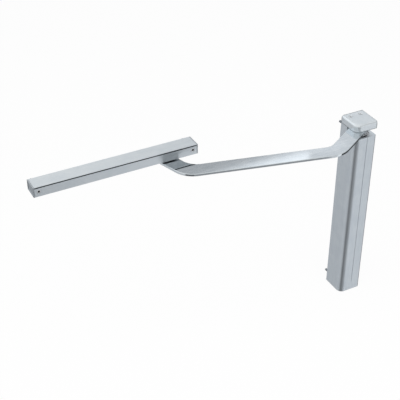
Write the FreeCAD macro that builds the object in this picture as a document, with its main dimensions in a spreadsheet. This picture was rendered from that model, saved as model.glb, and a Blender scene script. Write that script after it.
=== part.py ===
import FreeCAD, Part
import math
import os
import types

import Sketcher
from FreeCAD import Placement, Rotation, Vector

# Hydraulic gate closer: a tall aluminium housing that bolts to the gate post, a cranked flat
# arm on its shaft, and a rail that bolts to the gate and runs on a slide block.
# Origin: centre of the four post bolts, in the back face. +X right, +Y into the post, +Z up.
# Lengths are millimetres, angles degrees.

SIZES = {
    # Extruded housing
    "profile_width": 60,
    "profile_depth": 62,
    "profile_length": 476.8,
    "corner_radius": 15,
    "edge_radius": 3.5,
    "bore_radius": 23,
    "shaft_setback": 26,
    "port_radius": 2.05,
    "port_depth": 4.5,
    "rear_port_side": 14.5,
    "rear_port_depth": 13.7,
    "front_port_side": 21.5,
    "front_port_depth": 8.5,
    "groove_side": 5,
    "groove_width": 1,
    "groove_depth": 0.8,
    "groove_start": 19,
    # Notch that the arm swings in
    "notch_height": 18.8,
    "notch_wall": 25.5,
    "notch_radius": 24.2,
    # End caps of the housing
    "foot_cap_height": 8,
    "foot_spigot_height": 4,
    "foot_cap_rounding": 1.5,
    "top_cap_height": 19.2,
    "top_cap_rounding": 5.5,
    "top_cap_edge": 1.5,
    "cap_screw_radius": 2,
    "cap_screw_head_radius": 3.5,
    "cap_screw_head_height": 2.8,
    "top_screw_length": 20.5,
    "top_screw_sink": 3,
    "foot_screw_length": 8.5,
    "foot_screw_sink": 3.2,
    "cap_screw_socket": 2.5,
    "socket_share": 0.6,
    # Post bolts
    "bolt_radius": 3,
    "bolt_neck_radius": 2.7,
    "bolt_side": 18,
    "bolt_margin": 17,
    "bolt_lift": 8.5,
    "bolt_seat": 8,
    "bolt_tail": 22,
    "bolt_head_radius": 5,
    "bolt_head_height": 6,
    "bolt_socket": 5,
    # Cylinder
    "barrel_radius": 20,
    "plug_level": 28,
    "plug_flange": 4,
    "plug_height": 18,
    "ring_thickness": 2,
    "ring_reach": 1,
    "ring_width": 4,
    "head_recess": 1,
    "head_flange": 11,
    "head_neck": 12,
    "head_lip": 4,
    "bearing_radius": 14,
    "seal_height": 6.5,
    "seal_wire": 3,
    "seal_depth": 2.2,
    # Shaft
    "shaft_radius": 10,
    "square_width": 14,
    "journal_radius": 6,
    "journal_length": 11.5,
    "bush_wall": 2,
    "collar_radius": 13,
    "collar_height": 4,
    "shaft_tail": 46,
    "helix_lead": 125.66,
    "helix_floor": 7.5,
    "helix_slot": 5.4,
    "helix_rise": 62,
    "helix_below_pin": 48,
    # Piston
    "piston_height": 60,
    "oil_gap": 14,
    "drive_pin_radius": 2.5,
    "drive_pin_end": 19.4,
    "key_width": 6,
    "key_length": 22,
    "key_depth": 1.6,
    "key_seat": 2.4,
    "keyway_length": 150,
    # Return spring
    "spring_radius": 16,
    "spring_wire_width": 5,
    "spring_wire_height": 8,
    "spring_turns": 12,
    # Speed and latch valves
    "valve_radius": 3.5,
    "valve_side": 9,
    "valve_length": 16,
    "valve_head_radius": 4.6,
    "valve_head_height": 4,
    "valve_socket": 3,
    "valve_key_radius": 3,
    # Arm
    "arm_width": 40,
    "arm_thickness": 6,
    "arm_gap": 0.3,
    "arm_rounding": 1,
    "crank_length": 129.8,
    "crank_dip": 31.3,
    "elbow_turn": 45,
    "elbow_inner_radius": 30,
    "elbow_outer_radius": 70,
    "reach_length": 351.9,
    "wrist_turn": 58.4,
    "wrist_inner_radius": 42,
    "wrist_outer_radius": 54,
    "finger_length": 73.5,
    "hub_radius": 18,
    "hub_height": 12,
    "hub_screw_radius": 3,
    "hub_screw_sunk": 1,
    "washer_radius": 14,
    "washer_height": 1,
    # Pivot of the slide block
    "pivot_radius": 5,
    "pivot_bush_wall": 2,
    "pivot_bush_flange": 1,
    "pivot_flange_radius": 8,
    "pivot_washer_radius": 9,
    "pivot_washer_height": 1.6,
    "pivot_thread_radius": 4,
    "nut_width": 13,
    "nut_height": 6.5,
    "thread_end": 2,
    "pivot_depth": 14,
    # Slide block and gate rail
    "block_length": 40,
    "block_rounding": 1.5,
    "block_play": 0.3,
    "rail_lift": 2.5,
    "rail_length": 391,
    "rail_depth": 39,
    "rail_height": 24,
    "rail_wall": 3,
    "rail_slot": 14,
    "rail_overhang": 73.4,
    "rail_cap_plate": 3,
    "rail_cap_rim": 2.5,
    "rail_cap_recess": 1,
    "rail_cap_plug": 4,
    "rail_groove_width": 2.5,
    "rail_groove_depth": 2.2,
    "rail_groove_drop": 0.8,
    "rail_bolt_margin": 12.5,
    "rail_bolt_tail": 16,
    "sleeve_wall": 1.9,
    # Clearance round every piece that seats in or turns in another
    "fit": 0.05,
    "hole_play": 0.3,
}

doc = FreeCAD.newDocument("GateCloser")
sheet = doc.addObject("Spreadsheet::Sheet", "Sizes")


class Size:
    """A length or an angle that keeps its number beside its formula in the sheet."""

    def __init__(self, number, formula):
        self.number = number
        self.formula = formula

    def __add__(self, other):
        other = as_size(other)
        return Size(self.number + other.number, f"({self.formula} + {other.formula})")

    def __sub__(self, other):
        other = as_size(other)
        return Size(self.number - other.number, f"({self.formula} - {other.formula})")

    def __mul__(self, other):
        other = as_size(other)
        return Size(self.number * other.number, f"({self.formula} * {other.formula})")

    def __truediv__(self, other):
        other = as_size(other)
        return Size(self.number / other.number, f"({self.formula} / {other.formula})")

    def __neg__(self):
        return Size(-self.number, f"(0 - {self.formula})")

    def __radd__(self, other):
        return as_size(other) + self

    def __rsub__(self, other):
        return as_size(other) - self

    def __rmul__(self, other):
        return as_size(other) * self


def as_size(value):
    """Wrap a plain number, so that it can stand in a formula."""
    if isinstance(value, Size):
        return value
    return Size(float(value), f"({float(value):.9g})")


def cosine(angle):
    return Size(math.cos(math.radians(angle.number)), f"cos({angle.formula} * 1 deg)")


def sine(angle):
    return Size(math.sin(math.radians(angle.number)), f"sin({angle.formula} * 1 deg)")


def tangent(angle):
    return sine(angle) / cosine(angle)


def arctangent(ratio):
    """The angle, in degrees, whose tangent is this ratio."""
    return Size(math.degrees(math.atan(ratio.number)), f"(atan({ratio.formula}) / 1 deg)")


s = types.SimpleNamespace()
for row, (alias, number) in enumerate(SIZES.items(), start=1):
    sheet.set(f"A{row}", alias)
    sheet.set(f"B{row}", str(number))
    sheet.setAlias(f"B{row}", alias)
    setattr(s, alias, Size(float(number), f"Sizes.{alias}"))
doc.recompute()

ALONG_X = Rotation(Vector(0, 1, 0), 90)
ALONG_Y = Rotation(Vector(1, 0, 0), -90)
ALONG_Z = Rotation()
DOWN_Z = Rotation(Vector(1, 0, 0), 180)
EPSILON = 1e-4

nodes = []


# Drawing helpers

def place(thing, at, turn=ALONG_Z):
    """Put a piece at (x, y, z), bound to the sheet."""
    thing.Placement = Placement(Vector(), turn)
    for axis, size in zip("xyz", at):
        thing.setExpression(f".Placement.Base.{axis}", as_size(size).formula)
    return thing


def node(label, thing):
    """Name a finished piece: its label names its file."""
    thing.Label = label
    nodes.append(thing)
    return thing


def block(name, low, high):
    """A box between two corners."""
    thing = doc.addObject("Part::Box", name)
    for side, near, far in zip(("Length", "Width", "Height"), low, high):
        thing.setExpression(side, (as_size(far) - near).formula)
    return place(thing, low)


def rod(name, radius, length, at, turn=ALONG_Z):
    """A cylinder that starts at a point."""
    thing = doc.addObject("Part::Cylinder", name)
    thing.setExpression("Radius", as_size(radius).formula)
    thing.setExpression("Height", as_size(length).formula)
    return place(thing, at, turn)


def hexagon(name, across, length, at, turn=ALONG_Z):
    """A six-sided bar by its width across flats."""
    thing = doc.addObject("Part::Prism", name)
    thing.Polygon = 6
    thing.setExpression("Circumradius", (as_size(across) / math.sqrt(3)).formula)
    thing.setExpression("Height", as_size(length).formula)
    return place(thing, at, turn)


def together(kind, name, parts):
    thing = doc.addObject(kind, name)
    if kind == "Part::Compound":
        thing.Links = list(parts)
    else:
        thing.Shapes = list(parts)
    return thing


def fuse(name, *parts):
    return together("Part::MultiFuse", name, parts)


def group(name, parts):
    return together("Part::Compound", name, parts)


def cut(name, base, *tools):
    thing = doc.addObject("Part::Cut", name)
    thing.Base = base
    thing.Tool = tools[0] if len(tools) == 1 else fuse(f"{name}Tools", *tools)
    return thing


def fix(sketch, geometry, corner, x, y):
    """Hold one point of a sketch at bound distances from its origin."""
    for kind, size in (("DistanceX", x), ("DistanceY", y)):
        size = as_size(size)
        index = sketch.addConstraint(Sketcher.Constraint(kind, -1, 1, geometry, corner, size.number))
        sketch.setExpression(f"Constraints[{index}]", size.formula)


def draw_outline(sketch, corners):
    """A closed run of straight lines through bound corners."""
    points = [Vector(as_size(x).number, as_size(y).number, 0) for x, y in corners]
    first = sketch.GeometryCount
    following = points[1:] + points[:1]
    sketch.addGeometry([Part.LineSegment(a, b) for a, b in zip(points, following)], False)
    count = len(points)
    sketch.addConstraint([
        Sketcher.Constraint("Coincident", first + i, 2, first + (i + 1) % count, 1) for i in range(count)])
    for i, (x, y) in enumerate(corners):
        fix(sketch, first + i, 1, x, y)
    return sketch


def new_body(name, at=(0, 0, 0)):
    return place(doc.addObject("PartDesign::Body", name), at)


def new_sketch(body, plane="XY_Plane"):
    sketch = body.newObject("Sketcher::SketchObject", f"{body.Name}Sketch")
    wanted = [feature for feature in body.Origin.OriginFeatures if feature.Role == plane]
    sketch.AttachmentSupport = [(wanted[0], "")]
    sketch.MapMode = "FlatFace"
    return sketch


def pad(body, sketch, length):
    feature = body.newObject("PartDesign::Pad", f"{body.Name}Pad")
    feature.Profile = sketch
    feature.setExpression("Length", as_size(length).formula)
    return feature


def slab(name, corners, length, at, plane="XY_Plane"):
    """A padded outline."""
    body = new_body(name, at)
    pad(body, draw_outline(new_sketch(body, plane), corners), length)
    return body


def turned(name, corners, at):
    """A piece turned round Z from its (radius, height) corners."""
    body = new_body(name, at)
    sketch = draw_outline(new_sketch(body, "XZ_Plane"), corners)
    feature = body.newObject("PartDesign::Revolution", f"{name}Turn")
    feature.Profile = sketch
    feature.ReferenceAxis = (sketch, ["V_Axis"])
    feature.Angle = 360
    return body


def ring(name, inner, outer, low, high, at):
    return turned(name, [(inner, low), (outer, low), (outer, high), (inner, high)], at)


def round_edges(body, radius, chosen):
    """Fillet the edges of a body's last feature whose boxes pass a test."""
    doc.recompute()
    base = body.Tip
    names = [f"Edge{i}" for i, edge in enumerate(base.Shape.Edges, start=1) if chosen(edge.BoundBox)]
    feature = body.newObject("PartDesign::Fillet", f"{body.Name}Fillet")
    feature.Base = (base, names)
    feature.setExpression("Radius", as_size(radius).formula)
    return body


def upright(box):
    return box.XLength < EPSILON and box.YLength < EPSILON


def level(box):
    return box.ZLength < EPSILON


def socket_screw(name, head_radius, head_height, shank, socket, at, turn):
    """A screw along the turned Z: its head lies behind the seat point, its shank before it.

    The shank is a run of (radius, length) steps.
    """
    along = turn.multVec(Vector(0, 0, 1))

    def further(point, distance):
        return [as_size(p) + distance * round(step, 6) for p, step in zip(point, along)]

    back = further(at, -head_height)
    pieces = [rod(f"{name}Head", head_radius, head_height, back, turn)]
    for radius, length in shank:
        pieces.append(rod(f"{name}Shank", radius, length, at, turn))
        at = further(at, length)
    key = hexagon(f"{name}Socket", socket, head_height * s.socket_share, back, turn)
    return cut(name, fuse(f"{name}Blank", *pieces), key)


def helical_sweep(name, corners, radius, pitch, height, tilt, start):
    """Sweep an outline, given from the helix's first point, up a right-hand helix."""
    helix = doc.addObject("Part::Helix", f"{name}Path")
    helix.setExpression("Pitch", as_size(pitch).formula)
    helix.setExpression("Height", as_size(height).formula)
    helix.setExpression("Radius", as_size(radius).formula)
    place(helix, (0, 0, start))
    section = doc.addObject("Sketcher::SketchObject", f"{name}Section")
    draw_outline(section, corners)
    section.Placement = Placement(Vector(), Rotation(Vector(1, 0, 0), 90))
    section.setExpression(".Placement.Base.x", as_size(radius).formula)
    section.setExpression(".Placement.Base.z", as_size(start).formula)
    section.setExpression(".Placement.Rotation.Angle", as_size(tilt).formula)
    sweep = doc.addObject("Part::Sweep", f"{name}Sweep")
    sweep.Sections = [section]
    sweep.Spine = (helix, ["Edge1"])
    sweep.Solid = True
    sweep.Frenet = True
    return sweep


# Levels above the housing's foot

profile_top = s.foot_cap_height + s.profile_length
shoulder = profile_top - s.notch_height
bolt_high = shoulder + s.bolt_lift
foot = -(s.bolt_margin + bolt_high) / 2
head_top = shoulder - s.head_recess
barrel_top = head_top - s.head_flange
neck_low = barrel_top - s.head_neck
plug_flange_top = s.plug_level + s.plug_flange
plug_top = plug_flange_top + s.plug_height
piston_top = neck_low - s.oil_gap
piston_low = piston_top - s.piston_height
shaft_low = piston_low - s.shaft_tail
drive_level = piston_low + s.piston_height / 2
arm_top = profile_top - s.arm_gap
arm_low = arm_top - s.arm_thickness
rail_low = arm_top + s.rail_lift

# Places seen from above

front = -s.profile_depth
shaft_y = front + s.shaft_setback
half_width = s.profile_width / 2
on_shaft = (0, shaft_y, foot)

crank_heading = s.crank_dip + 180
reach_heading = crank_heading - s.elbow_turn
finger_heading = reach_heading - s.wrist_turn
legs = (
    (s.crank_length, crank_heading),
    (s.reach_length, reach_heading),
    (s.finger_length, finger_heading))


def walk(start, length, heading):
    return (start[0] + length * cosine(heading), start[1] + length * sine(heading))


arm_start = (as_size(0), shaft_y)
elbow = walk(arm_start, *legs[0])
wrist = walk(elbow, *legs[1])
pivot = walk(wrist, *legs[2])
pivot_x, pivot_y = pivot
rail_right = pivot_x + s.rail_overhang
rail_left = rail_right - s.rail_length


# Housing

def front_corner(side):
    """Pick the upright front edge on the left, -1, or on the right, 1."""
    face_y = front.number + EPSILON
    return lambda box: upright(box) and box.YMax < face_y and box.XMax * side > 0


def rounded_block(name, length, level_z):
    """A piece of the housing's outline, with its large front corner on the left."""
    outline = [(-half_width, front), (half_width, front), (half_width, 0), (-half_width, 0)]
    body = slab(name, outline, length, (0, 0, foot + level_z))
    return round_edges(body, s.corner_radius, front_corner(-1))


def top_port_places():
    """The tapped holes of the top cap's two screws, as seen from above."""
    return [(s.rear_port_side * side, -s.rear_port_depth) for side in (-1, 1)]


def foot_port_places():
    """The tapped holes of the foot cap's four screws, as seen from above."""
    return top_port_places() + [(s.front_port_side * side, front + s.front_port_depth) for side in (-1, 1)]


def post_bolt_places():
    return [(s.bolt_side * side, height) for side in (-1, 1) for height in (s.bolt_margin, bolt_high)]


def make_housing():
    low, high = s.foot_cap_height, profile_top
    blank = round_edges(rounded_block("Profile", s.profile_length, low), s.edge_radius, front_corner(1))
    bore = rod("Bore", s.bore_radius, s.profile_length, (0, shaft_y, foot + low))
    pocket = rod("NotchPocket", s.notch_radius, s.notch_height, (0, shaft_y, foot + shoulder))
    notch = block(
        "NotchFront",
        (-s.profile_width, front - s.notch_wall, foot + shoulder),
        (s.profile_width, -s.notch_wall, foot + high + s.notch_height))
    groove = block(
        "FaceGroove",
        (s.groove_side - s.groove_width / 2, front - s.groove_depth, foot + low + s.groove_start),
        (s.groove_side + s.groove_width / 2, front + s.groove_depth, foot + high))
    ring_groove = rod(
        "RingGroove", s.bore_radius + s.ring_reach + s.fit, s.ring_thickness + s.fit * 2,
        (0, shaft_y, foot + s.plug_level - s.ring_thickness - s.fit * 2))
    tools = [bore, pocket, notch, groove, ring_groove]
    for x, y in foot_port_places():
        tools.append(rod("FootPort", s.port_radius, s.port_depth, (x, y, foot + low)))
    for x, y in top_port_places():
        tools.append(rod("TopPort", s.port_radius, s.port_depth, (x, y, foot + high - s.port_depth)))
    for x, height in post_bolt_places():
        level_z = foot + height
        tools.append(rod(
            "BoltHole", s.bolt_radius + s.hole_play, s.bolt_seat, (x, -s.bolt_seat, level_z), ALONG_Y))
        tools.append(rod(
            "BoltSeat", s.bolt_head_radius + s.hole_play, s.notch_wall - s.bolt_seat,
            (x, -s.notch_wall, level_z), ALONG_Y))
    node("housing_profile", cut("Housing", blank, *tools))


def make_post_bolts():
    bolts = []
    for x, height in post_bolt_places():
        shank = ((s.bolt_neck_radius, s.bolt_seat), (s.bolt_radius, s.bolt_tail))
        bolts.append(socket_screw(
            "PostBolt", s.bolt_head_radius, s.bolt_head_height, shank, s.bolt_socket,
            (x, -s.bolt_seat, foot + height), ALONG_Y))
    node("post_bolts", group("PostBolts", bolts))


def make_foot_cap():
    body = round_edges(rounded_block("FootCap", s.foot_cap_height, 0), s.edge_radius, front_corner(1))
    round_edges(
        body, s.foot_cap_rounding,
        lambda box: level(box) and box.ZMax < EPSILON and box.YMin < -EPSILON)
    spigot = ring(
        "FootSpigot", s.bore_radius - s.ring_width, s.bore_radius - s.fit,
        s.foot_cap_height - s.foot_cap_rounding, s.foot_cap_height + s.foot_spigot_height, on_shaft)
    tools = []
    screws = []
    for x, y in foot_port_places():
        seat = s.foot_screw_sink
        tools.append(rod("FootScrewHole", s.cap_screw_radius + s.hole_play, s.foot_cap_height, (x, y, foot)))
        tools.append(rod("FootScrewSeat", s.cap_screw_head_radius + s.hole_play, seat, (x, y, foot)))
        screws.append(socket_screw(
            "FootScrew", s.cap_screw_head_radius, s.cap_screw_head_height,
            ((s.cap_screw_radius, s.foot_screw_length),), s.cap_screw_socket, (x, y, foot + seat), ALONG_Z))
    for side in (-1, 1):
        below_valve = (s.valve_side * side, shaft_y, foot)
        tools.append(rod("KeyHole", s.valve_key_radius, s.foot_cap_height, below_valve))
    node("bottom_cap", cut("FootCapBored", fuse("FootCapWhole", body, spigot), *tools))
    node("bottom_cap_screws", group("FootScrews", screws))


def make_top_cap():
    body = rounded_block("TopCap", s.top_cap_height, profile_top)
    crown = s.top_cap_height.number
    side_x = half_width.number - EPSILON
    round_edges(
        body, s.top_cap_rounding,
        lambda box: level(box) and box.ZMin > crown - EPSILON and box.YMin < -EPSILON and box.XMin < side_x)
    is_front_edge = front_corner(1)
    round_edges(
        body, s.top_cap_edge,
        lambda box: is_front_edge(box) or level(box) and box.ZMin > crown - EPSILON and box.XMin > side_x)
    bush_outer = s.journal_radius + s.bush_wall
    under_cap = (0, shaft_y, foot + profile_top)
    washer_seat = s.washer_height - s.arm_gap + s.fit * 2
    tools = [
        rod("BushSeat", bush_outer + s.fit, s.journal_length + s.hole_play * 2, under_cap),
        rod("WasherSeat", s.washer_radius + s.hole_play, washer_seat, under_cap)]
    screws = []
    seat = profile_top + s.top_cap_height - s.top_screw_sink
    for x, y in top_port_places():
        tools.append(rod(
            "TopScrewHole", s.cap_screw_radius + s.hole_play, s.top_cap_height, (x, y, foot + profile_top)))
        tools.append(rod(
            "TopScrewSeat", s.cap_screw_head_radius + s.hole_play, s.top_screw_sink, (x, y, foot + seat)))
        screws.append(socket_screw(
            "TopScrew", s.cap_screw_head_radius, s.cap_screw_head_height,
            ((s.cap_screw_radius, s.top_screw_length),), s.cap_screw_socket, (x, y, foot + seat), DOWN_Z))
    node("top_cap", cut("TopCapBored", body, *tools))
    node("top_cap_screws", group("TopScrews", screws))
    bush_low = profile_top + washer_seat
    bush_high = profile_top + s.journal_length
    node("top_bush", ring("TopBush", s.journal_radius + s.fit, bush_outer, bush_low, bush_high, on_shaft))


# Cylinder and its ends

def make_barrel():
    tube = ring("Barrel", s.barrel_radius, s.bore_radius - s.fit, plug_flange_top, barrel_top, on_shaft)
    half = s.key_width / 2 + s.fit
    keyway = block(
        "Keyway",
        (-half, shaft_y, foot + barrel_top - s.keyway_length),
        (half, shaft_y + s.barrel_radius + s.key_depth, foot + barrel_top))
    node("cylinder_barrel", cut("BarrelKeyed", tube, keyway))


def seal_seat(outer, middle):
    """Corners of a ring groove turned into an outer wall, from its lower edge up."""
    inner = outer - s.seal_depth
    low, high = middle - s.seal_wire / 2, middle + s.seal_wire / 2
    return [(outer, low), (inner, low), (inner, high), (outer, high)]


def seal_ring(name, outer, middle):
    inner = outer - s.seal_depth + s.fit
    half = s.seal_wire / 2 - s.fit
    return ring(name, inner, outer, middle - half, middle + half, on_shaft)


def make_head():
    neck = s.barrel_radius - s.fit
    flange = s.bore_radius - s.fit
    seat = s.bearing_radius + s.fit
    lip = s.shaft_radius + s.hole_play
    lip_top = neck_low + s.head_lip
    groove_level = neck_low + s.head_neck / 2
    corners = [(lip, neck_low), (neck, neck_low)]
    corners += seal_seat(neck, groove_level)
    corners += [
        (neck, barrel_top), (flange, barrel_top), (flange, head_top),
        (seat, head_top), (seat, lip_top), (lip, lip_top)]
    node("cylinder_head", turned("Head", corners, on_shaft))
    node("head_o_ring", seal_ring("HeadRing", neck, groove_level))
    seal_low = head_top - s.seal_height
    running = s.shaft_radius + s.fit
    node("head_bearing", ring("HeadBearing", running, s.bearing_radius, lip_top, seal_low, on_shaft))
    node("shaft_seal", ring("ShaftSeal", running, s.bearing_radius, seal_low, head_top, on_shaft))


def make_plug():
    neck = s.barrel_radius - s.fit
    flange = s.bore_radius - s.fit
    groove_level = plug_flange_top + s.plug_height / 2
    corners = [(0, s.plug_level), (flange, s.plug_level), (flange, plug_flange_top), (neck, plug_flange_top)]
    corners += seal_seat(neck, groove_level)
    corners += [(neck, plug_top), (0, plug_top)]
    blank = turned("Plug", corners, on_shaft)
    bores = []
    for side in (-1, 1):
        bores.append(rod(
            "ValveBore", s.valve_radius + s.fit, s.valve_length,
            (s.valve_side * side, shaft_y, foot + s.plug_level)))
    node("bottom_plug", cut("PlugBored", blank, *bores))
    node("plug_o_ring", seal_ring("PlugRing", neck, groove_level))
    reach = s.bore_radius + s.ring_reach
    circle = ring(
        "Circlip", reach - s.ring_width, reach, s.plug_level - s.ring_thickness, s.plug_level, on_shaft)
    gap = block(
        "CirclipGap",
        (-s.valve_side, shaft_y - s.profile_depth, foot),
        (s.valve_side, shaft_y, foot + s.plug_level))
    node("retaining_ring", cut("CirclipOpen", circle, gap))


def make_valves():
    for side, label in ((-1, "speed_valve"), (1, "latch_valve")):
        at = (s.valve_side * side, shaft_y, foot)
        head_low = s.plug_level - s.fit - s.valve_head_height
        blank = turned(f"{label}Blank", [
            (0, head_low),
            (s.valve_head_radius, head_low),
            (s.valve_head_radius, s.plug_level - s.fit),
            (s.valve_radius, s.plug_level - s.fit),
            (s.valve_radius, s.plug_level + s.valve_length - s.valve_radius),
            (0, s.plug_level + s.valve_length - s.fit)], at)
        key_at = (at[0], shaft_y, foot + head_low)
        key = hexagon(f"{label}Key", s.valve_socket, s.valve_head_height * s.socket_share, key_at)
        node(label, cut(f"{label}Turned", blank, key))


# Shaft, piston and spring

def make_spindle():
    collar_top = neck_low - s.hole_play
    collar_low = collar_top - s.collar_height
    blank = turned("Spindle", [
        (0, shaft_low), (s.shaft_radius, shaft_low), (s.shaft_radius, collar_low),
        (s.collar_radius, collar_low), (s.collar_radius, collar_top), (s.shaft_radius, collar_top),
        (s.shaft_radius, shoulder), (0, shoulder)], on_shaft)
    half = s.square_width / 2
    square = block(
        "DriveSquare",
        (-half, shaft_y - half, foot + shoulder),
        (half, shaft_y + half, foot + arm_top))
    journal_length = s.arm_gap + s.journal_length
    journal = rod("Journal", s.journal_radius, journal_length, (0, shaft_y, foot + arm_top))
    rise_angle = arctangent(s.helix_lead / (s.shaft_radius * (2 * math.pi)))
    half_slot = s.helix_slot / 2
    depth = s.shaft_radius - s.helix_floor
    outline = [(-depth, -half_slot), (depth, -half_slot), (depth, half_slot), (-depth, half_slot)]
    cutter = helical_sweep(
        "DriveSlot", outline, s.shaft_radius, s.helix_lead, s.helix_rise, rise_angle + 90,
        drive_level - s.helix_below_pin)
    on_axis = group("DriveSlotOnAxis", [cutter])
    place(on_axis, on_shaft, Rotation(Vector(0, 0, 1), 90))
    on_axis.setExpression(".Placement.Rotation.Angle", (s.helix_below_pin / s.helix_lead * -360).formula)
    node("drive_spindle", cut("SpindleSlotted", fuse("SpindleWhole", blank, square, journal), on_axis))


def make_piston():
    bore = s.shaft_radius + s.fit
    outer = s.barrel_radius - s.fit
    seal_level = piston_top - s.piston_height / 6
    corners = [(bore, piston_low), (outer, piston_low)]
    corners += seal_seat(outer, seal_level)
    corners += [(outer, piston_top), (bore, piston_top)]
    blank = turned("Piston", corners, on_shaft)
    level_z = foot + drive_level
    pin_start = s.helix_floor + s.hole_play
    pin_hole = rod(
        "DrivePinHole", s.drive_pin_radius + s.fit, s.barrel_radius, (0, shaft_y, level_z), ALONG_X)
    half_key = s.key_width / 2
    key_inner = shaft_y + s.barrel_radius - s.key_seat
    key_outer = shaft_y + s.barrel_radius + s.key_depth - s.hole_play
    half_length = s.key_length / 2
    key_hole = block(
        "KeySeat",
        (-half_key - s.fit, key_inner, level_z - half_length - s.fit),
        (half_key + s.fit, key_outer, level_z + half_length + s.fit))
    node("piston", cut("PistonBored", blank, pin_hole, key_hole))
    node("drive_pin", rod(
        "DrivePin", s.drive_pin_radius, s.drive_pin_end - pin_start, (pin_start, shaft_y, level_z), ALONG_X))
    node("guide_key", block(
        "GuideKey",
        (-half_key, key_inner + s.fit, level_z - half_length),
        (half_key, key_outer, level_z + half_length)))
    node("piston_seal", seal_ring("PistonRing", outer, seal_level))


def make_spring():
    half = s.spring_wire_width / 2
    half_height = s.spring_wire_height / 2
    rise = piston_low - plug_top - s.spring_wire_height
    outline = [(-half, -half_height), (half, -half_height), (half, half_height), (-half, half_height)]
    coil = helical_sweep(
        "SpringCoil", outline, s.spring_radius, rise / s.spring_turns, rise, 90, plug_top + half_height)
    node("return_spring", place(group("ReturnSpring", [coil]), on_shaft))


# Arm and its hub

def bend_points(corner, heading_in, heading_out, radius):
    """Where a right-hand bend starts and ends, and its centre."""
    reach = radius * tangent((heading_in - heading_out) / 2)
    start = walk(corner, -reach, heading_in)
    end = walk(corner, reach, heading_out)
    return start, end, walk(start, radius, heading_in - 90)


def draw_line(sketch, start, end):
    points = [Vector(x.number, y.number, 0) for x, y in (start, end)]
    line = sketch.addGeometry(Part.LineSegment(*points), False)
    fix(sketch, line, 1, *start)
    fix(sketch, line, 2, *end)
    return line


def draw_arc(sketch, centre, radius, angles, start, end):
    """An arc, anticlockwise, that joins two points already drawn; each is a line and its end."""
    middle = Vector(centre[0].number, centre[1].number, 0)
    circle = Part.Circle(middle, Vector(0, 0, 1), radius.number)
    low, high = (math.radians(angle.number) for angle in angles)
    arc = sketch.addGeometry(Part.ArcOfCircle(circle, low, high), False)
    sketch.addConstraint([
        Sketcher.Constraint("Coincident", arc, 1, *start),
        Sketcher.Constraint("Coincident", arc, 2, *end)])
    index = sketch.addConstraint(Sketcher.Constraint("DistanceX", -1, 1, arc, 3, centre[0].number))
    sketch.setExpression(f"Constraints[{index}]", centre[0].formula)


def offset_corner(corner, distance, heading_in, heading_out):
    """A corner of the arm's centre line moved to the edge that lies this far on its left."""
    share = distance / (1 + cosine(heading_in - heading_out))
    x = corner[0] - share * (sine(heading_in) + sine(heading_out))
    y = corner[1] + share * (cosine(heading_in) + cosine(heading_out))
    return x, y


def draw_edge(sketch, distance, elbow_radius, wrist_radius):
    """One long edge of the arm: three lines joined by two right-hand bends."""
    headings = (crank_heading, reach_heading, finger_heading)
    elbow_start, elbow_end, elbow_centre = bend_points(
        offset_corner(elbow, distance, *headings[:2]), *headings[:2], elbow_radius)
    wrist_start, wrist_end, wrist_centre = bend_points(
        offset_corner(wrist, distance, *headings[1:]), *headings[1:], wrist_radius)
    lines = [
        draw_line(sketch, walk(arm_start, distance, crank_heading + 90), elbow_start),
        draw_line(sketch, elbow_end, wrist_start),
        draw_line(sketch, wrist_end, walk(pivot, distance, finger_heading + 90))]
    bends = ((elbow_centre, elbow_radius), (wrist_centre, wrist_radius))
    for i, (centre, radius) in enumerate(bends):
        angles = (headings[i + 1] + 90, headings[i] + 90)
        draw_arc(sketch, centre, radius, angles, (lines[i + 1], 1), (lines[i], 2))
    return lines


def draw_cranked_bar(sketch, half):
    """The arm's outline: its two long edges and two round ends."""
    outer = draw_edge(sketch, half, s.elbow_outer_radius, s.wrist_outer_radius)
    inner = draw_edge(sketch, -half, s.elbow_inner_radius, s.wrist_inner_radius)
    finger_end = (finger_heading - 90, finger_heading + 90)
    draw_arc(sketch, pivot, half, finger_end, (inner[2], 2), (outer[2], 2))
    hub_end = (crank_heading + 90, crank_heading + 270)
    draw_arc(sketch, arm_start, half, hub_end, (outer[0], 1), (inner[0], 1))


def make_arm():
    body = new_body("ArmBar", (0, 0, foot + arm_low))
    sketch = new_sketch(body)
    draw_cranked_bar(sketch, s.arm_width / 2)
    pad(body, sketch, s.arm_thickness)
    round_edges(body, s.arm_rounding, level)
    hub_low = foot + arm_low - s.hub_height
    half = s.square_width / 2 + s.fit
    square = block("ArmSquare", (-half, shaft_y - half, hub_low), (half, shaft_y + half, foot + arm_top))
    pivot_hole = rod(
        "PivotHole", s.pivot_radius + s.pivot_bush_wall + s.fit, s.arm_thickness,
        (pivot_x, pivot_y, foot + arm_low))
    node("arm_bar", cut("ArmBored", body, square, pivot_hole))
    boss = rod("HubBoss", s.hub_radius, s.hub_height, (0, shaft_y, hub_low))
    screw_level = hub_low + s.hub_height / 2
    mouth = (0, shaft_y - s.hub_radius, screw_level)
    screw_hole = rod("HubScrewHole", s.hub_screw_radius + s.fit, s.hub_radius, mouth, ALONG_Y)
    node("arm_hub", cut("HubBored", boss, square, screw_hole))
    outer_end = (0, shaft_y - s.hub_radius + s.hub_screw_sunk, screw_level)
    grub = rod("Grub", s.hub_screw_radius, s.hub_radius - s.hub_screw_sunk - half, outer_end, ALONG_Y)
    key = hexagon("GrubKey", s.valve_socket, s.hub_screw_radius, outer_end, ALONG_Y)
    node("hub_screw", cut("GrubSocketed", grub, key))
    washer_bore = s.shaft_radius + s.fit
    washer_top = arm_top + s.washer_height
    node("spacer_washer", ring(
        "SpacerWasher", washer_bore, s.washer_radius, arm_top, washer_top, on_shaft))


# Pivot, slide block and rail

block_low = rail_low + s.rail_wall + s.block_play
block_high = rail_low + s.rail_height - s.rail_wall - s.block_play
on_pivot = (pivot_x, pivot_y, foot)


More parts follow.
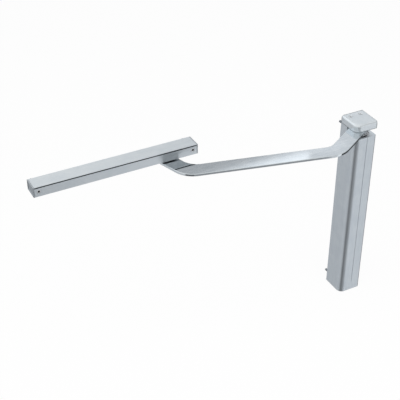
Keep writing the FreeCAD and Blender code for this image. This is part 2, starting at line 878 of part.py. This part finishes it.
def make_pivot():
    bush_outer = s.pivot_radius + s.pivot_bush_wall
    bush_top = arm_top + s.pivot_bush_flange
    running = s.pivot_radius + s.fit
    node("pivot_bush", turned("PivotBush", [
        (running, arm_low), (bush_outer, arm_low), (bush_outer, arm_top), (s.pivot_flange_radius, arm_top),
        (s.pivot_flange_radius, bush_top), (running, bush_top)], on_pivot))
    washer_top = arm_low - s.fit * 2
    nut_top = washer_top - s.pivot_washer_height
    nut_low = nut_top - s.nut_height
    pin_low = nut_low - s.thread_end
    flange_low = bush_top + s.fit * 2
    pin_top = block_low + s.pivot_depth - s.fit
    node("pivot_pin", turned("PivotPin", [
        (0, pin_low), (s.pivot_thread_radius, pin_low), (s.pivot_thread_radius, washer_top),
        (s.pivot_radius, washer_top), (s.pivot_radius, flange_low), (s.pivot_flange_radius, flange_low),
        (s.pivot_flange_radius, rail_low - s.block_play), (s.pivot_radius, rail_low - s.block_play),
        (s.pivot_radius, pin_top), (0, pin_top)], on_pivot))
    thread_hole = s.pivot_thread_radius + s.fit
    node("pivot_washer", ring(
        "PivotWasher", thread_hole, s.pivot_washer_radius, nut_top, washer_top, on_pivot))
    nut = hexagon("Nut", s.nut_width, s.nut_height, (pivot_x, pivot_y, foot + nut_low))
    thread = rod("NutThread", thread_hole, s.nut_height, (pivot_x, pivot_y, foot + nut_low))
    node("pivot_nut", cut("NutBored", nut, thread))


def make_slide_block():
    half_x = s.block_length / 2
    half_y = s.rail_depth / 2 - s.rail_wall - s.block_play
    body = slab("SlideBlock", [
        (-half_x, -half_y), (half_x, -half_y), (half_x, half_y), (-half_x, half_y)],
        block_high - block_low, (pivot_x, pivot_y, foot + block_low))
    round_edges(body, s.block_rounding, upright)
    bore = rod("BlockBore", s.pivot_radius + s.fit, s.pivot_depth, (pivot_x, pivot_y, foot + block_low))
    node("slide_block", cut("SlideBlockBored", body, bore))


def rail_section():
    """The rail's C section, open below, as (y, height) corners."""
    near, far = pivot_y - s.rail_depth / 2, pivot_y + s.rail_depth / 2
    inner_near, inner_far = near + s.rail_wall, far - s.rail_wall
    slot_near, slot_far = pivot_y - s.rail_slot / 2, pivot_y + s.rail_slot / 2
    top = rail_low + s.rail_height
    lip_top, roof = rail_low + s.rail_wall, top - s.rail_wall
    groove_top = top - s.rail_groove_drop
    groove_low = groove_top - s.rail_groove_width
    groove_back = near + s.rail_groove_depth
    return [
        (slot_near, rail_low), (near, rail_low), (near, groove_low), (groove_back, groove_low),
        (groove_back, groove_top), (near, groove_top), (near, top), (far, top), (far, rail_low),
        (slot_far, rail_low), (slot_far, lip_top), (inner_far, lip_top), (inner_far, roof),
        (inner_near, roof), (inner_near, lip_top), (slot_near, lip_top)]


def make_rail():
    near, far = pivot_y - s.rail_depth / 2, pivot_y + s.rail_depth / 2
    middle = foot + rail_low + s.rail_height / 2
    profile = slab(
        "RailProfile", rail_section(), s.rail_length - s.rail_cap_plate * 2,
        (rail_left + s.rail_cap_plate, 0, foot), "YZ_Plane")
    seat = near + s.rail_wall
    tools = []
    bolts = []
    sleeves = []
    for x in (rail_left + s.rail_bolt_margin, rail_right - s.rail_bolt_margin):
        mouth = (x, near, middle)
        tools.append(rod("RailBoltSeat", s.bolt_head_radius + s.fit, s.rail_wall, mouth, ALONG_Y))
        tools.append(rod("RailBoltHole", s.bolt_radius + s.hole_play, s.rail_depth, mouth, ALONG_Y))
        shank = ((s.bolt_neck_radius, s.rail_depth - s.rail_wall), (s.bolt_radius, s.rail_bolt_tail))
        bolts.append(socket_screw(
            "RailBolt", s.bolt_head_radius, s.rail_wall, shank, s.bolt_socket, (x, seat, middle), ALONG_Y))
        span = s.rail_depth - s.rail_wall * 2
        bore = s.bolt_radius + s.fit
        sleeve = rod("Sleeve", bore + s.sleeve_wall, span, (x, seat, middle), ALONG_Y)
        sleeves.append(cut("SleeveBored", sleeve, rod("SleeveBore", bore, span, (x, seat, middle), ALONG_Y)))
    node("rail_profile", cut("RailBored", profile, *tools))
    node("rail_bolts", group("RailBolts", bolts))
    node("rail_spacers", group("RailSpacers", sleeves))


def make_rail_cap(label, plate_x, plug_x, recess_x):
    """A cap: a plate over the rail's end, dished inside its rim, and a plug inside the rail."""
    def within(name, inset, start_x, length):
        """A block of the rail's end section, smaller by an inset all round."""
        near, far = pivot_y - s.rail_depth / 2 + inset, pivot_y + s.rail_depth / 2 - inset
        low, high = foot + rail_low + inset, foot + rail_low + s.rail_height - inset
        return block(f"{label}{name}", (start_x, near, low), (start_x + length, far, high))

    plate = within("Plate", 0, plate_x, s.rail_cap_plate)
    plug = within("Plug", s.rail_wall + s.fit, plug_x, s.rail_cap_plug)
    recess = within("Recess", s.rail_cap_rim, recess_x, s.rail_cap_recess)
    node(label, cut(f"{label}Dished", fuse(f"{label}Whole", plate, plug), recess))


make_housing()
make_post_bolts()
make_foot_cap()
make_top_cap()
make_barrel()
make_head()
make_plug()
make_valves()
make_spindle()
make_piston()
make_spring()
make_arm()
make_pivot()
make_slide_block()
make_rail()
make_rail_cap("rail_end_cap_left", rail_left, rail_left + s.rail_cap_plate, rail_left)
right_plate = rail_right - s.rail_cap_plate
make_rail_cap(
    "rail_end_cap_right", right_plate, right_plate - s.rail_cap_plug, rail_right - s.rail_cap_recess)
doc.recompute()

# Check every object, then write each piece

for thing in doc.Objects:
    if "Invalid" in thing.State or "Error" in thing.State:
        raise RuntimeError(f"{thing.Name} failed: {thing.State}")

os.makedirs("parts", exist_ok=True)
for piece in nodes:
    shape = piece.Shape
    if shape.isNull() or not shape.isValid():
        raise RuntimeError(f"{piece.Label} has no valid shape")
    if not shape.Solids:
        raise RuntimeError(f"{piece.Label} has no solid")
    shape.exportStep(f"parts/{piece.Label}.step")
    print(f"{piece.Label}: {len(shape.Solids)} solids, {shape.Volume:.0f} mm3")
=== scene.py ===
import math

import bmesh
import bpy
from mathutils import Matrix, Vector


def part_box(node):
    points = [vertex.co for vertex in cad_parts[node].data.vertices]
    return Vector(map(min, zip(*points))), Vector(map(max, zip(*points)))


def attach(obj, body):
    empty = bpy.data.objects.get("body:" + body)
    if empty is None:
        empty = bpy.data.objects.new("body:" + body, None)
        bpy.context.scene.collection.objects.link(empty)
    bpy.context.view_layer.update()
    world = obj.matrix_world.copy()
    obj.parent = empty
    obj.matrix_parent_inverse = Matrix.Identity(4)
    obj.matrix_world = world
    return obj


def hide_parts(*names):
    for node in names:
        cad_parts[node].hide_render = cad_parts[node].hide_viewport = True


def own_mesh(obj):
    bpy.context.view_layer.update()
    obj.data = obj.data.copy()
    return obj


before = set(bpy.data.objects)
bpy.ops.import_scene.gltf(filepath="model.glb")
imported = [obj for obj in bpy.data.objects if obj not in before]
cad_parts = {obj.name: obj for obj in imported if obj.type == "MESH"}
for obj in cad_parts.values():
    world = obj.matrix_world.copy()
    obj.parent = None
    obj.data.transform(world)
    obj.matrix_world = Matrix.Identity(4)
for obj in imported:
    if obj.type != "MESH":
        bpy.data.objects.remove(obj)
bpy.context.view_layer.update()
MM = 0.001


# Materials

EVEN = (1, 1, 1)
GRAIN_ROUGHNESS = 0.55
CLOUD_MM = 30
CLOUD_DETAIL = 3.0
TONE_LOW, TONE_HIGH = 0.7, 1.3
LIFT_STRENGTH = 0.5
EDGE_SAMPLES = 8

# The rail's groove, from the front face and from the top, with half its depth and half its width
GROOVE_IN, GROOVE_HALF_DEPTH = 1.2 * MM, 1.1 * MM
GROOVE_DOWN, GROOVE_HALF_WIDTH = 2.05 * MM, 1.3 * MM
GROOVE_COLOUR = "#50565C"


def srgb(colour):
    """Turn an sRGB hex colour into linear red, green and blue, with an alpha of one."""
    channels = [int(colour[i:i + 2], 16) / 255 for i in (1, 3, 5)]
    linear = [c / 12.92 if c <= 0.04045 else ((c + 0.055) / 1.055) ** 2.4 for c in channels]
    return (*linear, 1.0)


def add_node(tree, kind, inputs=None, **settings):
    """Add a shader node. An input is a plain value or the output socket that feeds it."""
    node = tree.nodes.new(kind)
    for key, value in settings.items():
        setattr(node, key, value)
    for key, value in (inputs or {}).items():
        if isinstance(value, bpy.types.NodeSocket):
            tree.links.new(value, node.inputs[key])
        else:
            node.inputs[key].default_value = value
    return node


def new_material(name):
    material = bpy.data.materials.new(name)
    material.use_nodes = True
    material.node_tree.nodes.clear()
    return material, material.node_tree


def finish_material(tree, surface):
    add_node(tree, "ShaderNodeOutputMaterial", {"Surface": surface})


def grain(tree, size_mm, stretch, detail=2.0):
    """Noise in the object's own place, one grain size_mm wide, drawn out along an axis by stretch."""
    place = add_node(tree, "ShaderNodeTexCoord")
    scale = add_node(tree, "ShaderNodeMapping", {
        "Vector": place.outputs["Object"],
        "Scale": tuple(1 / (size_mm * MM * s) for s in stretch)})
    return add_node(tree, "ShaderNodeTexNoise", {
        "Vector": scale.outputs["Vector"], "Scale": 1.0, "Detail": detail, "Roughness": GRAIN_ROUGHNESS})


def satin_metal(name, dark, light, roughness, spread, size_mm, lift_mm, stretch=EVEN, metallic=1.0,
                edge_mm=0, shade=None):
    """Metal whose grain shifts its colour between two tones, its roughness and its surface a little.

    Edges look rounded by edge_mm, and shade darkens the colour where it needs to.
    """
    material, tree = new_material(name)
    lines = grain(tree, size_mm, stretch)
    clouds = grain(tree, CLOUD_MM, EVEN, CLOUD_DETAIL)
    both = add_node(tree, "ShaderNodeMath", {
        0: lines.outputs["Fac"], 1: clouds.outputs["Fac"]}, operation="ADD")
    tone = add_node(tree, "ShaderNodeMapRange", {
        "Value": both.outputs[0], "From Min": TONE_LOW, "From Max": TONE_HIGH})
    colour = add_node(tree, "ShaderNodeMix", {
        "Factor": tone.outputs[0], "A": srgb(dark), "B": srgb(light)}, data_type="RGBA")
    gloss = add_node(tree, "ShaderNodeMapRange", {
        "Value": lines.outputs["Fac"], "To Min": roughness - spread, "To Max": roughness + spread})
    bump = add_node(tree, "ShaderNodeBump", {
        "Height": lines.outputs["Fac"], "Distance": lift_mm * MM, "Strength": LIFT_STRENGTH})
    if edge_mm:
        rounded = add_node(tree, "ShaderNodeBevel", {"Radius": edge_mm * MM}, samples=EDGE_SAMPLES)
        tree.links.new(rounded.outputs[0], bump.inputs["Normal"])
    base = shade(tree, colour.outputs[2]) if shade else colour.outputs[2]
    shader = add_node(tree, "ShaderNodeBsdfPrincipled", {
        "Base Color": base, "Metallic": metallic,
        "Roughness": gloss.outputs[0], "Normal": bump.outputs[0]})
    finish_material(tree, shader.outputs[0])
    return material


def moulded(name, dark, light, roughness, size_mm, lift_mm):
    """Plastic or rubber with a fine even grain."""
    return satin_metal(
        name, dark, light, roughness, spread=0.05, size_mm=size_mm, lift_mm=lift_mm, metallic=0.0)


def groove_shade(tree, colour):
    """Darken the inside of the thin groove under the rail's front edge, where shade gathers."""
    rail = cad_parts["rail_profile"]
    low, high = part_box("rail_profile")
    own = rail.matrix_world.inverted()
    near, top = (own @ low).y, (own @ high).z
    place = add_node(tree, "ShaderNodeTexCoord")
    parts = add_node(tree, "ShaderNodeSeparateXYZ", {0: place.outputs["Object"]})
    deep = add_node(tree, "ShaderNodeMath", {
        0: parts.outputs[1], 1: near + GROOVE_IN, 2: GROOVE_HALF_DEPTH}, operation="COMPARE")
    level = add_node(tree, "ShaderNodeMath", {
        0: parts.outputs[2], 1: top - GROOVE_DOWN, 2: GROOVE_HALF_WIDTH}, operation="COMPARE")
    inside = add_node(tree, "ShaderNodeMath", {
        0: deep.outputs[0], 1: level.outputs[0]}, operation="MULTIPLY")
    mixed = add_node(tree, "ShaderNodeMix", {
        "Factor": inside.outputs[0], "A": colour, "B": srgb(GROOVE_COLOUR)}, data_type="RGBA")
    return mixed.outputs[2]


# Extruded bar, satin anodised: faint die lines run along it, drawn 1.6 mm apart so that they show.
post_aluminium = satin_metal(
    "anodised_aluminium_upright", "#C6CDD3", "#D2D8DC", roughness=0.36, spread=0.04,
    size_mm=1.6, lift_mm=0.01, stretch=(1, 1, 60))
rail_aluminium = satin_metal(
    "anodised_aluminium_level", "#CAD1D6", "#D6DBDE", roughness=0.36, spread=0.04,
    size_mm=1.6, lift_mm=0.01, stretch=(60, 1, 1), shade=groove_shade)
# Cast cap, blasted and anodised: an even fine grit, with edges softened by the blasting.
cap_aluminium = satin_metal(
    "blasted_cast_aluminium", "#D0D7DB", "#DDE2E5", roughness=0.34, spread=0.03,
    size_mm=1.0, lift_mm=0.01, edge_mm=4)
# The rail's end caps, cast and left matt: a little darker than the bar.
end_aluminium = satin_metal(
    "matt_cast_aluminium", "#A9AFB4", "#B6BBBF", roughness=0.42, spread=0.04,
    size_mm=1.2, lift_mm=0.01, edge_mm=1)
# Flat bar, brushed along its length and clear anodised: brighter and more mirror-like.
arm_aluminium = satin_metal(
    "brushed_aluminium_bar", "#C6CDD2", "#D6DBDE", roughness=0.055, spread=0.015,
    size_mm=1.2, lift_mm=0.002, stretch=(40, 4, 1), edge_mm=1)
# Turned steel, oiled: mid grey, with fine turning marks round it and a soft shine.
turned_steel = satin_metal(
    "turned_steel", "#9C9EA1", "#B0B2B4", roughness=0.28, spread=0.06,
    size_mm=0.8, lift_mm=0.008, stretch=(1, 1, 0.3))
# The arm's hub, turned steel, painted paler than the other turned parts: painted light for the shade under
# the cap. Its shine is softer.
hub_painted_light = satin_metal(
    "turned_steel_painted_paler", "#CDD0D3", "#DCDEE0", roughness=0.55, spread=0.06,
    size_mm=0.8, lift_mm=0.008, stretch=(1, 1, 0.3))
# Bright zinc plate: slightly blue, softly mottled.
zinc_plate = satin_metal(
    "bright_zinc_plate", "#8E939A", "#A9ADB2", roughness=0.34, spread=0.08, size_mm=2.0, lift_mm=0.01)
# Painted shade for the inside of the bolts' hex sockets: near black, with a soft gloss.
socket_painted_shade = satin_metal(
    "painted_socket_shade", "#1D1E20", "#2A2B2D", roughness=0.42, spread=0.06, size_mm=1.5, lift_mm=0.01)
# Plain stainless steel: a neutral grey, fairly sharp in its shine.
stainless = satin_metal(
    "stainless_steel_plain", "#A6A7A7", "#BDBDBC", roughness=0.26, spread=0.05, size_mm=1.0, lift_mm=0.006)
# The cap's screws and the rail's bolts, tumbled: they stand out little from the metal round them.
pale_stainless = satin_metal(
    "stainless_steel_tumbled", "#D6D9DB", "#E2E4E6", roughness=0.5, spread=0.05, size_mm=1.0, lift_mm=0.006)
# Blackened spring wire: dull, with a trace of oil.
spring_steel = satin_metal(
    "blackened_spring_wire", "#26272A", "#3A3B3E", roughness=0.45, spread=0.06, size_mm=1.5, lift_mm=0.01)
# Sintered bronze: matt, finely porous.
bronze = satin_metal(
    "sintered_bronze", "#8A6A3E", "#A98552", roughness=0.48, spread=0.08, size_mm=0.6, lift_mm=0.02)
# Nitrile rubber: black and dull. Acetal: black with a soft sheen.
nitrile = moulded("black_nitrile", "#141414", "#202020", roughness=0.6, size_mm=0.8, lift_mm=0.01)
acetal = moulded("black_acetal", "#1B1C1E", "#26282A", roughness=0.42, size_mm=1.2, lift_mm=0.01)

FINISHES = {
    "housing_profile": post_aluminium,
    "bottom_cap": post_aluminium,
    "top_cap": cap_aluminium,
    "arm_bar": arm_aluminium,
    "rail_profile": rail_aluminium,
    "rail_end_cap_left": end_aluminium,
    "rail_end_cap_right": end_aluminium,
    "bottom_cap_screws": stainless,
    "top_cap_screws": pale_stainless,
    "hub_screw": stainless,
    "top_bush": bronze,
    "head_bearing": bronze,
    "pivot_bush": bronze,
    "cylinder_barrel": turned_steel,
    "cylinder_head": turned_steel,
    "bottom_plug": turned_steel,
    "drive_spindle": turned_steel,
    "piston": turned_steel,
    "drive_pin": turned_steel,
    "guide_key": turned_steel,
    "arm_hub": hub_painted_light,
    "rail_spacers": turned_steel,
    "pivot_pin": stainless,
    "pivot_washer": stainless,
    "pivot_nut": stainless,
    "speed_valve": stainless,
    "latch_valve": stainless,
    "retaining_ring": spring_steel,
    "return_spring": spring_steel,
    "head_o_ring": nitrile,
    "shaft_seal": nitrile,
    "plug_o_ring": nitrile,
    "piston_seal": nitrile,
    "spacer_washer": acetal,
    "slide_block": acetal,
    "post_bolts": zinc_plate,
    "rail_bolts": pale_stainless,
}

for name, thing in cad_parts.items():
    thing.data.materials.clear()
    thing.data.materials.append(FINISHES[name])


# Bolts, turned as rings of points

SEGMENTS = 36
ALONG_Y = Vector((0, 1, 0))
BOLT_RADIUS = 3 * MM
BOLT_PITCH = 1 * MM
BOLT_HEAD_RADIUS = 5 * MM
POST_BOLT_HEAD = 6 * MM
RAIL_BOLT_HEAD = 3 * MM
SOCKET_WIDTH = 5 * MM
SOCKET_DEPTH = 0.6      # of the head's height
SOCKET_TAPER = 0.98     # of the socket's width, at its floor
HEAD_CHAMFER = 0.5 * MM
MOUTH_CHAMFER = 0.4     # of the head's chamfer, down into the socket
TIP_CHAMFER = 1.4       # of the head's chamfer, at the bolt's tip
NECK = 0.9              # of the bolt's radius, above the thread
THREAD_DEPTH = 0.61     # of the pitch
THREAD_STEPS = 6        # rings for one turn


def ring_points(height, radius):
    """One ring of points; radius is a number or a rule that gives it for an angle."""
    points = []
    for i in range(SEGMENTS):
        angle = 2 * math.pi * i / SEGMENTS
        r = radius(angle) if callable(radius) else radius
        points.append(Vector((r * math.cos(angle), r * math.sin(angle), height)))
    return points


def hexagonal(across):
    """The radius of a hexagon, by its width across flats, at each angle."""
    def radius(angle):
        turn = (angle + math.pi / 6) % (math.pi / 3) - math.pi / 6
        return across / 2 / math.cos(turn)
    return radius


def thread_rings(start, end):
    """Rings up a right-hand V thread, run out at both ends."""
    count = round((end - start) / BOLT_PITCH * THREAD_STEPS)
    depth = BOLT_PITCH * THREAD_DEPTH
    rings = []
    for k in range(count + 1):
        height = start + (end - start) * k / count
        fade = min(1, k / THREAD_STEPS, (count - k) / THREAD_STEPS)

        def radius(angle, height=height, fade=fade):
            phase = ((height - start) / BOLT_PITCH - angle / (2 * math.pi)) % 1
            return BOLT_RADIUS - depth * fade * (1 - abs(2 * phase - 1))
        rings.append(ring_points(height, radius))
    return rings


def skin(mesh, rings):
    """Join rings into one closed surface; the socket's floor and sides take the second material, which
    paints shade into the socket.
    """
    layers = [[mesh.verts.new(p) for p in ring] for ring in rings]
    mesh.faces.new(reversed(layers[0])).material_index = 1
    mesh.faces.new(layers[-1])
    for k, (low, high) in enumerate(zip(layers, layers[1:])):
        for i in range(SEGMENTS):
            j = (i + 1) % SEGMENTS
            face = mesh.faces.new((low[i], low[j], high[j], high[i]))
            face.material_index = 1 if k == 0 else 0


def add_object(name, mesh, *materials):
    """Turn a bmesh into an object of the scene."""
    data = bpy.data.meshes.new(name)
    mesh.to_mesh(data)
    mesh.free()
    for material in materials:
        data.materials.append(material)
    thing = bpy.data.objects.new(name, data)
    bpy.context.scene.collection.objects.link(thing)
    return thing


def draw_bolt(mesh, seat, head_height, length, thread):
    """A socket-head bolt along Y: seat is under its head, and it is threaded at its far end."""
    tip = HEAD_CHAMFER * TIP_CHAMFER
    neck = BOLT_RADIUS * NECK
    rings = [
        ring_points(-head_height + head_height * SOCKET_DEPTH, hexagonal(SOCKET_WIDTH * SOCKET_TAPER)),
        ring_points(-head_height + HEAD_CHAMFER * MOUTH_CHAMFER, hexagonal(SOCKET_WIDTH)),
        ring_points(-head_height, hexagonal(SOCKET_WIDTH + HEAD_CHAMFER)),
        ring_points(-head_height, BOLT_HEAD_RADIUS - HEAD_CHAMFER),
        ring_points(-head_height + HEAD_CHAMFER, BOLT_HEAD_RADIUS),
        ring_points(0, BOLT_HEAD_RADIUS),
        ring_points(0, neck),
        ring_points(length - thread, neck)]
    rings += thread_rings(length - thread, length - tip)
    rings.append(ring_points(length, BOLT_RADIUS - tip))
    turn = Vector((0, 0, 1)).rotation_difference(ALONG_Y).to_matrix().to_4x4()
    move = Matrix.Translation(seat) @ turn
    skin(mesh, [[move @ p for p in ring] for ring in rings])


def near_ends(first, last, inset):
    """The places that lie inset from both ends of a span; where they would meet there is one."""
    if last - first < inset * 2 + 1 * MM:
        return [first + inset]
    return [first + inset, last - inset]


def draw_bolts(name, node, material, body, head_height, thread_from):
    """Draw a CAD node's bolts again, one in each corner of its box, threaded behind thread_from."""
    low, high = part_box(node)
    head_seat = low.y + head_height
    mesh = bmesh.new()
    for x in near_ends(low.x, high.x, BOLT_HEAD_RADIUS):
        for z in near_ends(low.z, high.z, BOLT_HEAD_RADIUS):
            draw_bolt(
                mesh, Vector((x, head_seat, z)), head_height, length=high.y - head_seat,
                thread=high.y - thread_from)
    bmesh.ops.recalc_face_normals(mesh, faces=mesh.faces)
    # The second material paints the shade inside the sockets.
    thing = add_object(name, mesh, material, socket_painted_shade)
    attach(thing, body)
    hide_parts(node)


draw_bolts(
    "post_bolts_threaded", "post_bolts", zinc_plate, "post_unit",
    POST_BOLT_HEAD, thread_from=0)
draw_bolts(
    "rail_bolts_threaded", "rail_bolts", pale_stainless, "gate_rail",
    RAIL_BOLT_HEAD, thread_from=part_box("rail_profile")[1].y)


# The return spring: the CAD coil again, in a mesh of its own

coil = bpy.data.objects.new("return_spring_coil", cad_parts["return_spring"].data.copy())
bpy.context.scene.collection.objects.link(coil)
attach(coil, "post_unit")
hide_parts("return_spring")
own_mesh(coil)


# Studio

SCREEN_COLOUR = "#F8FAFD"
SCREEN_STEPS = 24
LEAN_LEVEL = 34
FLOOR_SIZE = 30
FLOOR_DROP = 0.5 * MM
FLOOR_WHITE = 0.94
FILL_STRENGTH = 0.55


def emitter(name, colour, strength):
    material, tree = new_material(name)
    light = add_node(tree, "ShaderNodeEmission", {"Color": srgb(colour), "Strength": strength})
    finish_material(tree, light.outputs[0])
    return material


def seen_directly(tree):
    """1 where the background shows, seen straight, mirrored or through glass; 0 where it lights."""
    path = add_node(tree, "ShaderNodeLightPath")
    mirrored = add_node(tree, "ShaderNodeMath", {
        0: path.outputs["Is Camera Ray"], 1: path.outputs["Is Glossy Ray"]}, operation="MAXIMUM")
    return add_node(tree, "ShaderNodeMath", {
        0: mirrored.outputs[0], 1: path.outputs["Is Transmission Ray"]}, operation="MAXIMUM")


def add_floor():
    """A pale floor just under the housing. Seen straight it is nearly white; it isn't mirrored."""
    material, tree = new_material("pale_floor")
    paper = add_node(tree, "ShaderNodeBsdfDiffuse", {"Color": srgb("#EDEDED")})
    white = add_node(tree, "ShaderNodeEmission", {"Color": srgb("#FFFFFF"), "Strength": 1.0})
    path = add_node(tree, "ShaderNodeLightPath")
    share = add_node(tree, "ShaderNodeMath", {
        0: path.outputs["Is Camera Ray"], 1: FLOOR_WHITE}, operation="MULTIPLY")
    mixed = add_node(tree, "ShaderNodeMixShader", {
        0: share.outputs[0], 1: paper.outputs[0], 2: white.outputs[0]})
    finish_material(tree, mixed.outputs[0])
    mesh = bmesh.new()
    for x, y in ((-1, -1), (1, -1), (1, 1), (-1, 1)):
        mesh.verts.new((x * FLOOR_SIZE / 2, y * FLOOR_SIZE / 2, 0))
    mesh.faces.new(mesh.verts)
    thing = add_object("floor", mesh, material)
    thing.location = (0, 0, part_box("bottom_cap")[0].z - FLOOR_DROP)
    thing.visible_glossy = False


def screen(name, grey, sides, heights, lean=(0, 0), distance=8.0):
    """A curved screen far round the object. It shows in the polish, and neither lights nor shades.

    Sides are degrees from the front, positive to the right; heights are degrees above the level.
    Each side may lean, by degrees of turn for one degree of height, about LEAN_LEVEL.
    """
    mesh = bmesh.new()
    columns = []
    for i in range(SCREEN_STEPS + 1):
        column = []
        for j in range(SCREEN_STEPS + 1):
            rise = heights[0] + (heights[1] - heights[0]) * j / SCREEN_STEPS
            first, last = (s + k * (rise - LEAN_LEVEL) for s, k in zip(sides, lean))
            side = math.radians(first + (last - first) * i / SCREEN_STEPS)
            height = math.radians(rise)
            column.append(mesh.verts.new((
                distance * math.sin(side) * math.cos(height),
                -distance * math.cos(side) * math.cos(height),
                distance * math.sin(height))))
        columns.append(column)
    for a, b in zip(columns, columns[1:]):
        for j in range(SCREEN_STEPS):
            mesh.faces.new((a[j], b[j], b[j + 1], a[j + 1]))
    thing = add_object(name, mesh, emitter(name, SCREEN_COLOUR, grey))
    thing.visible_camera = False
    thing.visible_diffuse = False
    thing.visible_transmission = False
    thing.visible_shadow = False


add_floor()

# Name, brightness, sides and heights of each screen
SCREENS = (
    ("grey_screen_rear", 0.25, (-200, -156), (-54, 8)),
    ("grey_screen_back", 0.74, (-156, -64), (-54, -8)),
    ("low_screen_back", 0.35, (-200, -64), (-85, -54)),
    ("dark_screen_left", 0.2, (-64, -24), (-85, -8)),
    ("half_dark_screen", 0.4, (-24, 8), (-85, -8)),
    ("grey_screen_front", 0.86, (8, 31), (-54, -8)),
    ("pale_screen_front", 1.14, (31, 50), (-54, -8)),
    ("low_screen_front", 0.5, (8, 50), (-85, -54)),
    ("dark_screen_right", 0.07, (50, 128), (-48, -20)),
    ("dark_screen_back", 0.03, (128, 156), (-48, 14)),
    ("grey_screen_right", 0.5, (50, 128), (-20, 45)),
    ("low_screen_right", 0.5, (50, 160), (-85, -48)),
    ("dark_sky_front", 0.16, (8, 31), (20, 44)),
    ("soft_sky_right", 0.92, (128, 146), (20, 45)),
    ("bright_strip", 1.36, (146, 151), (20, 45)),
    ("grey_strip", 0.5, (151.6, 158), (20, 45)),
    ("bright_screen_left", 1.3, (-160, -110), (10, 60)),
)
for name, grey, sides, heights in SCREENS:
    screen(name, grey, sides, heights)

# The bright strip fades to grey along a slant, on screens a little nearer than the others: this is
# the long highlight on the arm.
STRIP_DISTANCE = 7.9
STRIP_HEIGHTS = (32.5, 36.5)
FADE = (1.32, 1.14, 0.94, 0.76, 0.62)
FADE_START, FADE_STEP = 148.1, 0.5
screen("strip_core", 1.48, (145.6, 148.1), (33.4, 37), lean=(0, 4), distance=STRIP_DISTANCE)
for step, grey in enumerate(FADE):
    start = FADE_START + FADE_STEP * step
    screen(
        f"strip_fade_{step + 1}", grey, (start, start + FADE_STEP), STRIP_HEIGHTS,
        lean=(4, 4), distance=STRIP_DISTANCE)
screen("strip_end", 0.57, (150.6, 162), STRIP_HEIGHTS, lean=(4, 4), distance=STRIP_DISTANCE)

# A white surround: full where it shows, dimmer where it lights
world = bpy.data.worlds.new("studio")
bpy.context.scene.world = world
world.use_nodes = True
sky = world.node_tree
sky.nodes.clear()
fill = add_node(sky, "ShaderNodeBackground", {"Color": srgb("#FFFFFF"), "Strength": FILL_STRENGTH})
backdrop = add_node(sky, "ShaderNodeBackground", {"Color": srgb("#FFFFFF"), "Strength": 1.0})
seen = seen_directly(sky)
surround = add_node(sky, "ShaderNodeMixShader", {
    0: seen.outputs[0], 1: fill.outputs[0], 2: backdrop.outputs[0]})
add_node(sky, "ShaderNodeOutputWorld", {"Surface": surround.outputs[0]})

# One large lamp
key = bpy.data.lights.new("softbox", "AREA")
key.shape = "RECTANGLE"
key.size = 3.0
key.size_y = 2.0
key.energy = 60
softbox = bpy.data.objects.new("softbox", key)
bpy.context.scene.collection.objects.link(softbox)
softbox.location = (-0.8, -0.8, 2.6)
softbox.visible_glossy = False
softbox.rotation_mode = "QUATERNION"
softbox.rotation_quaternion = Vector((-0.35, -0.5, 1.0)).to_track_quat("Z", "Y")


# Camera, at the photograph's angle

azimuth, elevation = math.radians(-27.5703), math.radians(34.3117)
camera_place = (-1.25354, -1.61116, 1.37462)
back = Vector((
    math.sin(azimuth) * math.cos(elevation), -math.cos(azimuth) * math.cos(elevation), math.sin(elevation)))
right = Vector((math.cos(azimuth), math.sin(azimuth), 0))
up = back.cross(right)
camera_data = bpy.data.cameras.new("camera")
camera_data.sensor_width = 36
camera_data.lens = 85.79
camera_data.clip_end = 100
camera = bpy.data.objects.new("camera", camera_data)
bpy.context.scene.collection.objects.link(camera)
camera_turn = Matrix((right, up, back)).transposed().to_4x4()
camera.matrix_world = Matrix.Translation(camera_place) @ camera_turn
bpy.context.scene.camera = camera

bpy.context.scene.view_settings.view_transform = "Standard"
